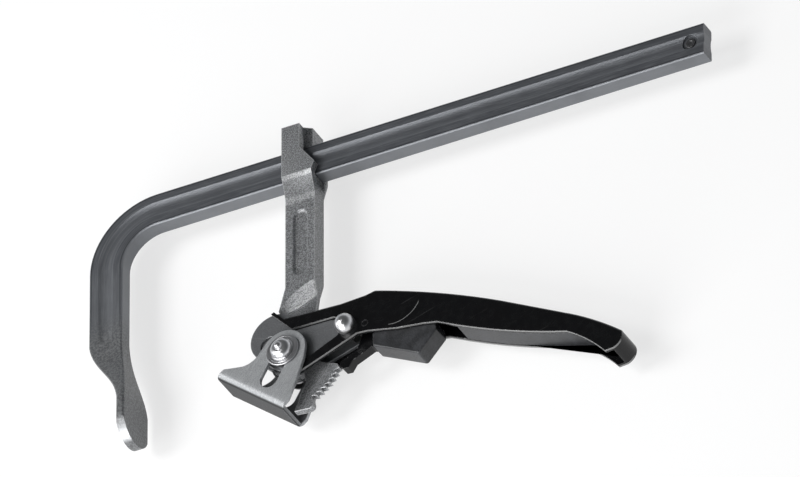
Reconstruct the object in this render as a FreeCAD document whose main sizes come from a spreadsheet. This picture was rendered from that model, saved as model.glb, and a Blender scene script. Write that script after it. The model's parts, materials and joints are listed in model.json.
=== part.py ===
import FreeCAD, Part
import math
import os

import Sketcher

# A steel lever clamp lying on its side, in millimetres.
# X runs along the rail from the fixed jaw to the free end, Y from the jaws to the rail,
# and Z is up, out of the side that carries the polished rivets.
# The origin lies on the face of the fixed jaw, level with the pivot of the lever.

# Driving sizes of the rail and its forged jaw
RAIL_SIZES = {
    "rail_depth": 22,
    "rail_thickness": 10.5,
    "rail_corner": 1.1,
    "groove_width": 10,
    "groove_depth": 1.1,
    "rail_reach": 376.2,
    "rail_height": 137.6,
    "bend_inner_radius": 23,
    "jaw_setback": 7.2,
    "forge_height": 52,
    "spoon_thickness": 5.5,
    "spoon_width": 31,
    "spoon_reach": 24.5,
    "spoon_corner": 1.6,
    "stop_inset": 9.2,
    "stop_diameter": 6.5,
    "stop_recess_diameter": 10,
    "stop_recess_depth": 0.8,
    "stop_proud": 3.6,
}

# Driving sizes of the sliding arm and the main pivot
ARM_SIZES = {
    "pivot_reach": 103.8,
    "arm_left": 2.3,
    "arm_width": 19.5,
    "arm_thickness": 11.4,
    "web_thickness": 3,
    "rim_thickness": 4.2,
    "rim_inner_radius": 27,
    "hub_radius": 13.5,
    "boss_thickness": 8.4,
    "boss_radius": 12,
    "flare_height": 34.7,
    "flare_overhang": 4.3,
    "step_height": 50.5,
    "ramp_foot": 33.5,
    "ramp_side": 41.6,
    "tooth_tip_radius": 34.9,
    "tooth_depth": 2.5,
    "head_thickness": 21.6,
    "head_rise": 25.4,
    "bridge_width": 11.8,
    "bridge_flare": 2,
    "loop_width": 16.4,
    "waist_drop": 2.8,
    "bevel_start": 23.3,
    "bevel_end": 9.9,
    "rail_clearance": 0.35,
    "dimple_width": 8.8,
    "dimple_length": 45.9,
    "dimple_depth": 1.6,
    "dimple_height": 80.5,
    "pin_diameter": 11.4,
    "bush_wall": 2.1,
    "running_clearance": 0.05,
    "seat_clearance": 0.1,
    "washer_diameter": 21,
    "washer_thickness": 1.5,
    "cap_diameter": 14.6,
    "cap_height": 4.4,
    "cap_edge": 0.8,
    "nipple_diameter": 5,
    "nipple_height": 2.3,
    "pin_overrun": 2,
}

# Driving sizes of the lever, its cam plates and what they carry
LEVER_SIZES = {
    "cam_clearance": 0.3,
    "cam_sheet": 2.5,
    "cam_back": 8.5,
    "cam_rise": 16.5,
    "cam_radius": 16,
    "cam_boss_radius": 10.5,
    "cam_hole_back": 12.2,
    "cam_hole_rise": 11.9,
    "cam_hole_diameter": 11.2,
    "ring_wall": 3.1,
    "rivet_reach": 40.4,
    "rivet_rise": 6.2,
    "rivet_diameter": 5,
    "rivet_land": 4.2,
    "rivet_head_diameter": 12.7,
    "lever_sheet": 2.6,
    "lever_fold_radius": 2,
    "web_start": 20,
    "neck_reach": 63.2,
    "neck_rise": 25,
    "handle_length": 156,
    "handle_drop": 92.9,
    "filler_clearance": 0.1,
    "pawl_reach": 52,
    "pawl_rise": 4.5,
    "pawl_boss_diameter": 10,
    "pawl_thickness": 6,
    "pawl_clearance": 0.4,
    "pawl_pin_diameter": 4,
    "trigger_width": 13,
    "trigger_corner": 1.8,
}

# Driving sizes of the pressure plate
PAD_SIZES = {
    "pad_sheet": 2.6,
    "pad_clearance": 0.4,
    "pad_distance": 31.4,
    "pad_top": 32,
    "pad_bottom": 24,
    "pad_boss_radius": 14.5,
    "pad_bend_radius": 4,
    "slot_clearance": 0.15,
    "slot_length": 19,
}

# Counts and angles
TOOTH_NOTCHES = 7
TOOTH_PITCH_ANGLE = 5.9
TOOTH_FIRST_ANGLE = -25.7
SECTOR_HEEL_ANGLE = -22.1
HUB_ANGLES = (160, 225, 305)
CHEEK_ANGLES = (-60, 15, 90)
RIVET_ANGLES = (23, 28, 79)
PAD_TURN_ANGLE = 50
SLOT_ANGLE = 190.7
PAWL_NOSE_ANGLE = -21.3
PAWL_HEEL_ANGLE = -25.1

# Share of a quarter round's radius that its middle stands in from the corner
CORNER_SHARE = 1 - math.sqrt(0.5)

# Two points nearer than this are the same point
NEARNESS = 1e-5

# How far cuts run past the metal, as a share of the arm's thickness
OVERRUN_SHARE = 0.5

# Forged jaw, from the leg down: share of the forging height, of the drawn-in outer face,
# of the drawn-in inner face and of the widening
FORGING_SHARES = (
    (1.0, 1.0, 1.0, 0.0),
    (0.64, 0.667, 0.72, 0.2),
    (0.385, 0.3, 0.34, 0.55),
    (0.17, 0.07, 0.07, 0.88),
    (0.05, 0.0, 0.0, 1.0),
)

# Web and rim of the arm below the pivot, as shares of the tooth tip radius
WEB_FOOT_SHARES = ((0.266, -0.539), (0.155, -0.756), (0.112, -0.926), (0.1, -1.0), (0.24, -1.0))
WEB_OUTER_SHARE = 0.86
WEB_HEEL_SHARES = ((0.716, -0.29), (0.544, -0.2), (0.41, 0.0), (0.42, 0.43), (0.444, 0.86))
RIM_FOOT_SHARES = ((0.054, -1.069), (0.341, -1.097), (0.398, -1.06), (0.407, -1.0))
RIM_INNER_SHARES = ((0.261, -0.86), (0.195, -0.968), (0.097, -0.963))
RIM_HEEL_SHARE = 0.931

# Notch between two teeth, as shares of the pitch
NOTCH_SHARES = (0.04, 0.8, 0.96)

# Sloping step of the shank, outer and inner: share of the arm's width and of the step's rise
# at its middle, share of the width at its end, and share of the rise left over at the edge
STEP_SHARES = (0.18, 0.53, 0.9, 0.1)
RAMP_SHARES = (0.405, 0.346, 0.97, 0.1)

# Where the slanted faces of the arm's loop end, as a share of half the slot's width
LOOP_FACET_SHARE = 0.41

# Cap of the pivot: middle of its dome, then middle and flat of the nipple on it
DOME_SHARES = (0.3, 0.68)
NIPPLE_SHARES = (0.8, 0.72, 0.25)

# Lever round the cam plates, as shares of the neck's reach and rise
LEVER_FRONT_SHARES = (
    (0.063, 0.66),
    (-0.152, 1.256),
    (-0.123, 1.3),
    (-0.042, 1.068),
    (0.22, 1.02),
    (0.566, 0.976),
    (0.824, 1.008),
    (0.926, 1.06),
    (1.0, 1.0),
)
LEVER_STRIP_SHARES = (
    (0.848, -0.048),
    (0.739, -0.024),
    (0.134, -0.628),
    (0.105, -0.442),
    (0.53, 0.06),
)
NOTCH_APEX_SHARES = ((0.58, 0.28), (0.5, 0.64))
WEB_INSIDE_SHARES = ((0.566, 0.976), (0.824, 1.008), (0.926, 1.055), (1.0, 1.0))

# Back of the handle, as shares of its length and drop, with the angle of the outward normal
BACK_SHARES = ((0.25, 0.162, 68), (0.4968, 0.3595, 62.3), (0.7436, 0.5856, 60.8), (0.9, 0.745, 54))
TIP_SHARES = ((0.9974, 0.8719, 35), (0.999, 0.935, -8), (0.965, 0.993, -72), (0.9295, 0.9978, -110))
BELLY_SHARES = ((0.855, 0.864), (0.7718, 0.7589), (0.54, 0.623), (0.3077, 0.4456), (0.2308, 0.3778))
BELLY_START_SHARES = ((0.1667, 0.3552), (0.064, 0.3315))
FILLER_START_SHARES = (0.32, 0.215, 68)
FILLER_NOSE_SHARES = (0.301, 0.33)

# Pawl and trigger, as shares of the pawl's reach
PAWL_FRONT_SHARES = ((0.905, 0.055), (0.835, -0.15))
PAWL_HEEL_SHARES = ((0.663, -0.35), (0.731, -0.356), (0.788, -0.269))
PAWL_BACK_SHARES = PAWL_HEEL_SHARES + ((1.02, -0.165), (1.37, -0.29), (1.41, -0.175), (1.1, 0.06))
TRIGGER_FOOT_SHARES = ((1.066, -0.03), (1.066, -0.205), (1.645, -0.505))
TRIGGER_SHARES = TRIGGER_FOOT_SHARES + ((1.875, -0.245), (1.86, -0.12), (1.16, -0.02))

# Cheek of the pressure plate as it faces the fixed jaw, as shares of the web distance
CHEEK_LOWER_SHARES = ((-0.8, -0.8), (-0.427, -0.685), (0.06, -0.505))
CHEEK_UPPER_SHARES = ((-0.29, 0.46), (-0.43, 0.49), (-0.6, 0.62), (-0.685, 0.76), (-0.8, 0.962))


class Measure:
    """A length with the spreadsheet expression that gives it."""

    def __init__(self, value, text):
        self.value = value
        self.text = text

    def __add__(self, other):
        other = measured(other)
        return Measure(self.value + other.value, f"({self.text} + {other.text})")

    def __sub__(self, other):
        other = measured(other)
        return Measure(self.value - other.value, f"({self.text} - {other.text})")

    def __mul__(self, other):
        other = measured(other)
        return Measure(self.value * other.value, f"({self.text} * {other.text})")

    def __truediv__(self, other):
        other = measured(other)
        return Measure(self.value / other.value, f"({self.text} / {other.text})")

    def __neg__(self):
        return Measure(-self.value, f"(0 - {self.text})")

    def __radd__(self, other):
        return measured(other) + self

    def __rsub__(self, other):
        return measured(other) - self

    def __rmul__(self, other):
        return measured(other) * self


def measured(item):
    """Take a plain number or a measure as a measure."""
    if isinstance(item, Measure):
        return item
    return Measure(item, f"({item:.10g})")


class Sizes:
    """The driving sizes, each a measure bound to its cell of the spreadsheet."""

    def __init__(self, document, groups):
        self.sheet = document.addObject("Spreadsheet::Sheet", "sizes")
        row = 0
        for group in groups:
            for alias, value in group.items():
                row += 1
                self.sheet.set(f"A{row}", alias.replace("_", " "))
                self.sheet.set(f"B{row}", str(value))
                self.sheet.setAlias(f"B{row}", alias)
                setattr(self, alias, Measure(value, f"sizes.{alias}"))


document = FreeCAD.newDocument("bar_clamp")
size = Sizes(document, (RAIL_SIZES, ARM_SIZES, LEVER_SIZES, PAD_SIZES))
document.recompute()


def vector(point):
    """Plain vector of a point given in measures."""
    return FreeCAD.Vector(measured(point[0]).value, measured(point[1]).value, 0)


def polar(radius, angle, centre=(0, 0)):
    """Point at a radius and an angle in degrees round a centre."""
    across = measured(centre[0]) + radius * math.cos(math.radians(angle))
    up = measured(centre[1]) + radius * math.sin(math.radians(angle))
    return across, up


def bind(thing, path, measure):
    """Tie one property of an object to the spreadsheet."""
    thing.setExpression(path, measured(measure).text)


def new_body(label, across=0, up=0):
    """Start a sub-part whose own origin stands at a place of the clamp."""
    body = document.addObject("PartDesign::Body", label)
    body.Label = label
    bind(body, ".Placement.Base.x", across)
    bind(body, ".Placement.Base.y", up)
    return body


def new_sketch(body, name, role, offset=0):
    """Start a sketch on an origin plane of its body, moved along the plane's normal."""
    plane = next(item for item in body.Origin.OriginFeatures if item.Role == role)
    sketch = body.newObject("Sketcher::SketchObject", f"{body.Name}_{name}")
    sketch.AttachmentSupport = [(plane, "")]
    sketch.MapMode = "FlatFace"
    offset = measured(offset)
    sketch.AttachmentOffset = FreeCAD.Placement(FreeCAD.Vector(0, 0, offset.value), FreeCAD.Rotation())
    bind(sketch, "AttachmentOffset.Base.z", offset)
    return sketch


def constrain(sketch, kind, *places, measure=None):
    """Add one constraint and tie it to its measure."""
    if measure is None:
        sketch.addConstraint(Sketcher.Constraint(kind, *places))
        return
    measure = measured(measure)
    index = sketch.addConstraint(Sketcher.Constraint(kind, *places, measure.value))
    sketch.setExpression(f"Constraints[{index}]", measure.text)


def place_point(sketch, geometry, position, point):
    """Hold one point of a sketch at its measures."""
    constrain(sketch, "DistanceX", -1, 1, geometry, position, measure=point[0])
    constrain(sketch, "DistanceY", -1, 1, geometry, position, measure=point[1])


def draw_round(sketch, centre, radius):
    """Draw a circle."""
    circle = Part.Circle(vector(centre), FreeCAD.Vector(0, 0, 1), measured(radius).value)
    geometry = sketch.addGeometry(circle, False)
    place_point(sketch, geometry, 3, centre)
    constrain(sketch, "Radius", geometry, measure=radius)


def add_arc(sketch, first, middle, last):
    """Draw an arc through three points and say which of its ends comes first."""
    bend = Part.Arc(vector(first), vector(middle), vector(last)).toShape().Curve
    centre = bend.Center
    turn = (vector(middle) - vector(first)).cross(vector(last) - vector(middle)).z
    start, end = (first, last) if turn > 0 else (last, first)
    spoke_start = vector(start) - centre
    spoke_end = vector(end) - centre
    start_angle = math.atan2(spoke_start.y, spoke_start.x)
    end_angle = math.atan2(spoke_end.y, spoke_end.x)
    if end_angle < start_angle:
        end_angle += 2 * math.pi
    circle = Part.Circle(centre, FreeCAD.Vector(0, 0, 1), bend.Radius)
    geometry = sketch.addGeometry(Part.ArcOfCircle(circle, start_angle, end_angle), False)
    guide = sketch.addGeometry(Part.Point(vector(middle)), True)
    place_point(sketch, guide, 1, middle)
    constrain(sketch, "PointOnObject", guide, 1, geometry)
    if turn > 0:
        return geometry, 1, 2
    return geometry, 2, 1


def draw_outline(sketch, steps):
    """Draw a closed outline: a step is a point, or the middle and the end of an arc."""
    ends = [step if len(step) == 2 and not isinstance(step[0], tuple) else step[1] for step in steps]
    edges = []
    for index, step in enumerate(steps):
        start = ends[index - 1]
        if isinstance(step[0], tuple):
            edges.append(add_arc(sketch, start, step[0], step[1]))
        else:
            line = Part.LineSegment(vector(start), vector(step))
            edges.append((sketch.addGeometry(line, False), 1, 2))
    for index, edge in enumerate(edges):
        before = edges[index - 1]
        constrain(sketch, "Coincident", before[0], before[2], edge[0], edge[1])
        place_point(sketch, edge[0], edge[2], ends[index])


def draw_belt(sketch, rounds):
    """Draw a belt round circles given anticlockwise as centre and radius."""
    normals = []
    for index, (centre, radius) in enumerate(rounds):
        next_centre, next_radius = rounds[(index + 1) % len(rounds)]
        run = vector(next_centre) - vector(centre)
        lean = math.acos((measured(radius).value - measured(next_radius).value) / run.Length)
        normals.append(math.atan2(run.y, run.x) - lean)
    arcs = []
    for index, (centre, radius) in enumerate(rounds):
        start_angle = normals[index - 1]
        end_angle = normals[index]
        while end_angle < start_angle:
            end_angle += 2 * math.pi
        circle = Part.Circle(vector(centre), FreeCAD.Vector(0, 0, 1), measured(radius).value)
        arc = sketch.addGeometry(Part.ArcOfCircle(circle, start_angle, end_angle), False)
        place_point(sketch, arc, 3, centre)
        constrain(sketch, "Radius", arc, measure=radius)
        arcs.append(arc)
    for index, arc in enumerate(arcs):
        following = arcs[(index + 1) % len(arcs)]
        start = sketch.Geometry[arc].EndPoint
        end = sketch.Geometry[following].StartPoint
        line = sketch.addGeometry(Part.LineSegment(start, end), False)
        constrain(sketch, "Tangent", arc, 2, line, 1)
        constrain(sketch, "Tangent", line, 2, following, 1)


def rectangle(left, right, low, high):
    """Outline of a rectangle."""
    return [(left, low), (right, low), (right, high), (left, high)]


def rounded_rectangle(left, right, low, high, corner):
    """Outline of a rectangle with four quarter rounds."""
    inset = corner * CORNER_SHARE
    return [
        (right - corner, low),
        ((right - inset, low + inset), (right, low + corner)),
        (right, high - corner),
        ((right - inset, high - inset), (right - corner, high)),
        (left + corner, high),
        ((left + inset, high - inset), (left, high - corner)),
        (left, low + corner),
        ((left + inset, low + inset), (left + corner, low)),
    ]


def pad(body, sketch, length):
    """Thicken a sketch along its normal."""
    feature = body.newObject("PartDesign::Pad", f"{sketch.Name}_pad")
    feature.Profile = sketch
    bind(feature, "Length", length)
    return feature


def pocket(body, sketch, length):
    """Cut a sketch against its normal."""
    feature = body.newObject("PartDesign::Pocket", f"{sketch.Name}_pocket")
    feature.Profile = sketch
    bind(feature, "Length", length)
    return feature


def slab(body, name, draw, shape, low, high):
    """Add a flat piece between two heights."""
    sketch = new_sketch(body, name, "XY_Plane", low)
    draw(sketch, shape)
    return pad(body, sketch, high - low)


def sink(body, name, draw, shape, low, high):
    """Cut a flat shape between two heights."""
    sketch = new_sketch(body, name, "XY_Plane", high)
    draw(sketch, shape)
    return pocket(body, sketch, high - low)


def bore(body, name, centre, radius, low, high):
    """Cut a round hole between two heights."""
    sketch = new_sketch(body, name, "XY_Plane", high)
    draw_round(sketch, centre, radius)
    return pocket(body, sketch, high - low)


def turned(label, profile, across, up):
    """Make a turned piece from its profile of radius and height."""
    body = new_body(label, across, up)
    sketch = new_sketch(body, "profile", "XZ_Plane")
    draw_outline(sketch, profile)
    feature = body.newObject("PartDesign::Revolution", f"{label}_turning")
    feature.Profile = sketch
    feature.ReferenceAxis = (sketch, ["V_Axis"])
    feature.Angle = 360
    return body


def washer_profile(inner, outer, low, high):
    """Profile of a plain ring."""
    return rectangle(inner, outer, low, high)


def flipped(profile):
    """Profile of the same turned piece on the other side."""
    turned_over = []
    for step in profile:
        if isinstance(step[0], tuple):
            turned_over.append(tuple((point[0], -point[1]) for point in step))
        else:
            turned_over.append((step[0], -step[1]))
    return turned_over


def sided(low, high, front):
    """Two heights on the front side, or the same on the rear side."""
    if front:
        return low, high
    return -high, -low


def round_edges(body, feature, chosen, radius):
    """Round the edges that a test picks."""
    document.recompute()
    names = [f"Edge{number + 1}" for number, edge in enumerate(feature.Shape.Edges) if chosen(edge)]
    rounding = body.newObject("PartDesign::Fillet", f"{feature.Name}_round")
    rounding.Base = (feature, names)
    bind(rounding, "Radius", radius)
    return rounding


def spread(shares, reach, rise):
    """Points from shares of a reach and a rise."""
    return [(reach * share[0], rise * share[1]) for share in shares]


# Heights of the layers, from the middle of the clamp outwards
web_half = size.web_thickness / 2
rim_half = size.rim_thickness / 2
boss_half = size.boss_thickness / 2
arm_half = size.arm_thickness / 2
head_half = size.head_thickness / 2
cam_low = boss_half + size.cam_clearance
cam_high = cam_low + size.cam_sheet
lever_half = cam_high + size.lever_sheet
pad_inner = lever_half + size.pad_clearance
pad_half = pad_inner + size.pad_sheet
washer_low = pad_half + size.seat_clearance
washer_high = washer_low + size.washer_thickness
pin_half = washer_high + size.pin_overrun
pin_radius = size.pin_diameter / 2
pin_hole_radius = pin_radius + size.running_clearance
overrun = size.arm_thickness * OVERRUN_SHARE

# Places of the rail
bend_x = size.bend_inner_radius - size.jaw_setback
bend_y = size.rail_height - size.bend_inner_radius - size.rail_depth / 2
bend_middle_radius = size.bend_inner_radius + size.rail_depth / 2
stop_x = size.rail_reach - size.stop_inset
rail_half = size.rail_thickness / 2


def rail_section(middle):
    """Outline of the grooved bar, whose depth lies across and whose thickness lies up."""
    near = middle - size.rail_depth / 2
    far = middle + size.rail_depth / 2
    corner = size.rail_corner
    inset = corner * CORNER_SHARE
    groove = size.groove_width / 2
    groove_floor = rail_half - size.groove_depth
    return [
        (middle - groove, -rail_half),
        ((middle, -groove_floor), (middle + groove, -rail_half)),
        (far - corner, -rail_half),
        ((far - inset, inset - rail_half), (far, corner - rail_half)),
        (far, rail_half - corner),
        ((far - inset, rail_half - inset), (far - corner, rail_half)),
        (middle + groove, rail_half),
        ((middle, groove_floor), (middle - groove, rail_half)),
        (near + corner, rail_half),
        ((near + inset, rail_half - inset), (near, rail_half - corner)),
        (near, corner - rail_half),
        ((near + inset, inset - rail_half), (near + corner, -rail_half)),
    ]


def make_rail():
    """Grooved bar, bent through a right angle and forged flat into the fixed jaw."""
    body = new_body("rail_with_fixed_jaw", bend_x, bend_y)
    straight = new_sketch(body, "straight", "YZ_Plane")
    draw_outline(straight, rail_section(bend_middle_radius))
    pad(body, straight, size.rail_reach - bend_x)
    bend_section = new_sketch(body, "bend_section", "YZ_Plane")
    draw_outline(bend_section, rail_section(bend_middle_radius))
    bend = body.newObject("PartDesign::Revolution", "rail_bend")
    bend.Profile = bend_section
    bend.ReferenceAxis = (bend_section, ["V_Axis"])
    bend.Angle = 90
    leg = new_sketch(body, "leg", "XZ_Plane")
    draw_outline(leg, rail_section(-bend_middle_radius))
    pad(body, leg, bend_y - size.forge_height)
    make_forging(body)
    foot = new_sketch(body, "foot", "XZ_Plane", bend_y + size.forge_height * -FORGING_SHARES[-1][0])
    draw_outline(foot, forging_section(FORGING_SHARES[-1]))
    pad(body, foot, size.spoon_reach + size.forge_height * FORGING_SHARES[-1][0])
    round_spoon(body)
    hole_place = (stop_x - bend_x, bend_middle_radius)
    stop_radius = size.stop_diameter / 2
    bore(body, "stop_hole", hole_place, stop_radius, -rail_half - overrun, rail_half + overrun)
    recess_floor = rail_half - size.groove_depth - size.stop_recess_depth
    recess_radius = size.stop_recess_diameter / 2
    bore(body, "stop_recess", hole_place, recess_radius, recess_floor, rail_half + overrun)
    return body


def forging_section(row):
    """Outline of the forged jaw at one height, seen along the leg."""
    outer = size.spoon_thickness + (size.jaw_setback + size.rail_depth - size.spoon_thickness) * row[1]
    inner = size.jaw_setback * row[2]
    half = rail_half + (size.spoon_width / 2 - rail_half) * row[3]
    corner = size.rail_corner + (size.spoon_corner - size.rail_corner) * row[3]
    return rounded_rectangle(-bend_x - outer, -bend_x - inner, -half, half, corner)


def make_forging(body):
    """Draw the bar out from its leg to the width of the spoon."""
    sections = []
    for number, row in enumerate(FORGING_SHARES):
        sketch = new_sketch(body, f"forging_{number}", "XZ_Plane", bend_y - size.forge_height * row[0])
        draw_outline(sketch, forging_section(row))
        sections.append(sketch)
    forging = body.newObject("PartDesign::AdditiveLoft", "jaw_forging")
    forging.Profile = sections[0]
    forging.Sections = sections[1:]


def round_spoon(body):
    """Cut the end of the spoon round."""
    radius = size.spoon_width / 2
    end_y = -size.spoon_reach - bend_y
    centre_y = end_y + radius
    inset = radius * math.sqrt(0.5)
    sketch = new_sketch(body, "spoon_end", "YZ_Plane", overrun - bend_x)
    for side in (1, -1):
        draw_outline(sketch, [
            (end_y, 0),
            ((centre_y - inset, inset * side), (centre_y, radius * side)),
            (centre_y, (radius + overrun) * side),
            (end_y - overrun, (radius + overrun) * side),
            (end_y - overrun, 0),
        ])
    pocket(body, sketch, size.spoon_thickness + overrun * 2)


def make_stop_pin():
    """Stud that keeps the arm on the rail, proud at the rear."""
    radius = size.stop_diameter / 2
    head = rail_half - size.groove_depth
    profile = rectangle(0, radius, -rail_half - size.stop_proud, head)
    return turned("rail_stop_pin", profile, stop_x, size.rail_height)


def make_arm():
    """Forged arm with its loop head round the rail and its toothed segment."""
    body = new_body("sliding_arm", size.pivot_reach, 0)
    left = -size.arm_left
    right = size.arm_width - size.arm_left
    make_toothed_segment(body, left, right)
    make_shank(body, left, right)
    make_arm_head(body, left, right)
    dimple_radius = size.dimple_width / 2
    dimple_half = size.dimple_length / 2 - dimple_radius
    dimple_x = (left + right) / 2
    dimple = [((dimple_x, size.dimple_height + dimple_half), dimple_radius)]
    dimple += [((dimple_x, size.dimple_height - dimple_half), dimple_radius)]
    for name, front in (("front_dimple", True), ("rear_dimple", False)):
        low, high = sided(arm_half - size.dimple_depth, arm_half + overrun, front)
        sink(body, name, draw_belt, dimple, low, high)
    bush_seat = pin_hole_radius + size.bush_wall + size.running_clearance
    bore(body, "bush_hole", (0, 0), bush_seat, -arm_half, arm_half)
    notch = cut_notch(body)
    teeth = body.newObject("PartDesign::PolarPattern", "arm_teeth")
    teeth.Originals = [notch]
    teeth.Axis = (notch.Profile[0], ["N_Axis"])
    teeth.Reversed = True
    teeth.Angle = TOOTH_PITCH_ANGLE * (TOOTH_NOTCHES - 1)
    teeth.Occurrences = TOOTH_NOTCHES
    body.Tip = teeth
    return body


def make_toothed_segment(body, left, right):
    """Thin web round the pivot with the rim that carries the teeth, and the boss on it."""
    tip = size.tooth_tip_radius
    inner = size.rim_inner_radius
    outer = tip * WEB_OUTER_SHARE
    hub = size.hub_radius
    end_angle = TOOTH_FIRST_ANGLE - TOOTH_PITCH_ANGLE * TOOTH_NOTCHES
    middle_angle = (TOOTH_FIRST_ANGLE + end_angle) / 2
    web = spread(WEB_FOOT_SHARES, tip, tip) + [polar(outer, end_angle)]
    web += [(polar(outer, middle_angle), polar(outer, TOOTH_FIRST_ANGLE))]
    web += spread(WEB_HEEL_SHARES, tip, tip)
    web += [(right, size.ramp_side), (right, size.step_height), (left, size.step_height)]
    web += [(left - size.flare_overhang, size.flare_height)]
    web += [polar(hub, HUB_ANGLES[0]), (polar(hub, HUB_ANGLES[1]), polar(hub, HUB_ANGLES[2]))]
    slab(body, "web", draw_outline, web, -web_half, web_half)
    rim = spread(RIM_FOOT_SHARES, tip, tip) + [polar(tip, end_angle)]
    rim += [(polar(tip, middle_angle), polar(tip, TOOTH_FIRST_ANGLE))]
    rim += [polar(tip * RIM_HEEL_SHARE, SECTOR_HEEL_ANGLE), polar(inner, SECTOR_HEEL_ANGLE)]
    rim += [(polar(inner, middle_angle), polar(inner, end_angle))]
    rim += spread(RIM_INNER_SHARES, tip, tip)
    slab(body, "rim", draw_outline, rim, -rim_half, rim_half)
    slab(body, "boss", draw_round_at_pivot, size.boss_radius, -boss_half, boss_half)


def draw_round_at_pivot(sketch, radius):
    """Draw a circle round the pivot."""
    draw_round(sketch, (0, 0), radius)


def shank_outline(left, right, foot, side, shares):
    """Outline of the shank at one depth of its sloping step."""
    collar_foot = size.rail_height - size.bevel_start
    rise = side - foot
    middle = (left + size.arm_width * shares[0], foot + rise * shares[1])
    end = (left + size.arm_width * shares[2], side)
    outline = [(right, side + rise * shares[3]), (right, collar_foot), (left, collar_foot)]
    return outline + [(left, size.step_height), (left - size.flare_overhang, foot), (middle, end)]


def make_shank(body, left, right):
    """Thick shank that slopes down to the thin web in a crescent on both sides."""
    inner = shank_outline(left, right, size.ramp_foot, size.ramp_side, RAMP_SHARES)
    outer = shank_outline(left, right, size.flare_height, size.step_height, STEP_SHARES)
    slab(body, "shank", draw_outline, inner, -rim_half, rim_half)
    for side, turn in (("front", 1), ("rear", -1)):
        foot = new_sketch(body, f"{side}_ramp_foot", "XY_Plane", rim_half * turn)
        draw_outline(foot, inner)
        top = new_sketch(body, f"{side}_ramp_top", "XY_Plane", arm_half * turn)
        draw_outline(top, outer)
        ramp = body.newObject("PartDesign::AdditiveLoft", f"arm_{side}_ramp")
        ramp.Profile = foot
        ramp.Sections = [top]


def make_arm_head(body, left, right):
    """Collar under the rail, a bridge on each side and the skewed loop over the top."""
    slot_foot = size.rail_height - size.rail_depth / 2 - size.rail_clearance
    slot_top = size.rail_height + size.rail_depth / 2 + size.rail_clearance
    slot_half = rail_half + size.rail_clearance
    bevel_foot = size.rail_height - size.bevel_start
    bevel_top = size.rail_height - size.bevel_end
    shoulder = size.rail_height - size.bevel_end / 2
    head_top = size.rail_height + size.head_rise
    waist = slot_top - size.waist_drop
    bevel = [(bevel_foot, -arm_half), (bevel_top, -head_half), (shoulder, -head_half), (shoulder, head_half)]
    bevel += [(bevel_top, head_half), (bevel_foot, arm_half)]
    collar = new_sketch(body, "collar", "YZ_Plane", left)
    draw_outline(collar, bevel)
    pad(body, collar, right - left)
    front_edge = left + size.bridge_width
    loop_edge = left + size.loop_width
    rear_edge = loop_edge - size.bridge_width
    front = [(left, bevel_top), (right, bevel_top), (right + size.bridge_flare, shoulder)]
    front += [(front_edge, waist), (front_edge, head_top), (left, head_top)]
    slab(body, "front_bridge", draw_outline, front, slot_half, head_half)
    rear = [(left, bevel_top), (right, bevel_top), (right, shoulder), (loop_edge, waist)]
    rear += [(loop_edge, head_top), (rear_edge, head_top), (rear_edge, waist), (left, shoulder)]
    slab(body, "rear_bridge", draw_outline, rear, -head_half, -slot_half)
    facet = slot_half * LOOP_FACET_SHARE
    layers = [(left, front_edge, slot_half), (left, loop_edge, facet)]
    layers += [(left, loop_edge, -facet), (rear_edge, loop_edge, -slot_half)]
    sections = []
    for number, (low, high, depth) in enumerate(layers):
        section = new_sketch(body, f"loop_section_{number}", "XY_Plane", depth)
        draw_outline(section, rectangle(low, high, slot_top, head_top))
        sections.append(section)
    loop = body.newObject("PartDesign::AdditiveLoft", "arm_loop")
    loop.Profile = sections[0]
    loop.Sections = sections[1:]
    loop.Ruled = True
    slot = new_sketch(body, "slot", "YZ_Plane", right + overrun)
    draw_outline(slot, rectangle(slot_foot, slot_top, -slot_half, slot_half))
    pocket(body, slot, right - left + overrun * 2)


def cut_notch(body):
    """First gap between two ratchet teeth."""
    tip = size.tooth_tip_radius
    angles = [TOOTH_FIRST_ANGLE - TOOTH_PITCH_ANGLE * share for share in NOTCH_SHARES]
    gap = [polar(tip + size.tooth_depth, angles[0]), polar(tip, angles[0])]
    gap += [polar(tip - size.tooth_depth, angles[1]), polar(tip, angles[2])]
    gap += [polar(tip + size.tooth_depth, angles[2])]
    return sink(body, "notch", draw_outline, gap, -arm_half, arm_half)


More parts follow.
